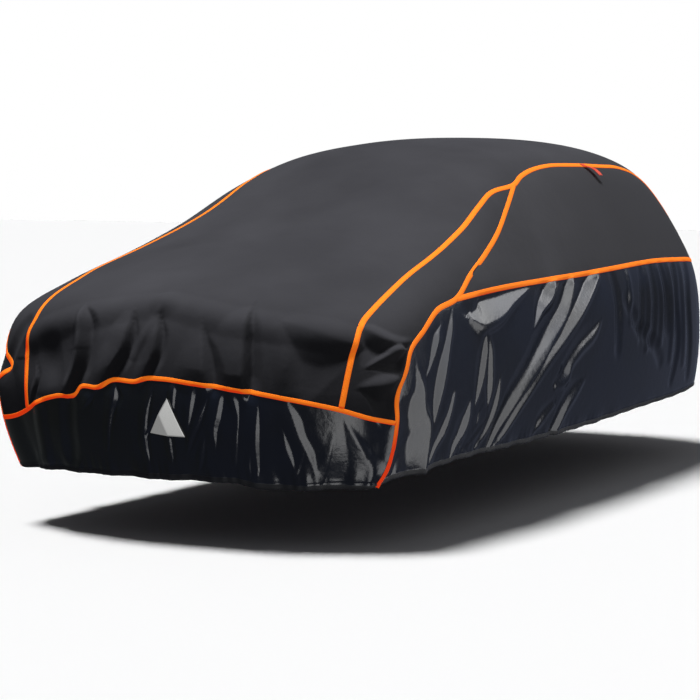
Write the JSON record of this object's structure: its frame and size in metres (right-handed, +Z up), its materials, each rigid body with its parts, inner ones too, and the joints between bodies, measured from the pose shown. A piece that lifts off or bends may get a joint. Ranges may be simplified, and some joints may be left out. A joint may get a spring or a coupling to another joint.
{
  "type": "fitted car cover",
  "caption": "Hollow fitted car cover with a matte top, a coated skirt with an elastic hem and contrasting taped seams, open underneath.",
  "frame": {"origin": "the point under the middle of the roof where the cover is held up", "axes": "+X towards the cover's left-hand side, +Y towards the tail, +Z up"},
  "size_m": [1.9535, 4.3489, 1.4613],
  "materials": {
    "top_cloth": "matt dark grey cover cloth with a fine even grain",
    "skirt_cloth": "black coated cloth, glossy on the folds",
    "seam_tape": "bright orange woven seam tape",
    "reflector": "plain silver-grey reflective cloth",
    "webbing": "red-orange webbing"
  },
  "bodies": {
    "root": {"centre_panel": "top_cloth", "fender_panel_left": "top_cloth", "fender_panel_right": "top_cloth", "window_panel_left": "top_cloth", "window_panel_right": "top_cloth", "front_skirt": "skirt_cloth", "side_skirt_left": "skirt_cloth", "side_skirt_right": "skirt_cloth", "rear_skirt": "skirt_cloth", "front_tape": "seam_tape", "belt_tape": "seam_tape", "roof_tape_left": "seam_tape", "roof_tape_right": "seam_tape", "corner_tape_left": "seam_tape", "corner_tape_right": "seam_tape", "reflector_triangle": "reflector", "pull_tab": "webbing"}
  },
  "joints": []
}
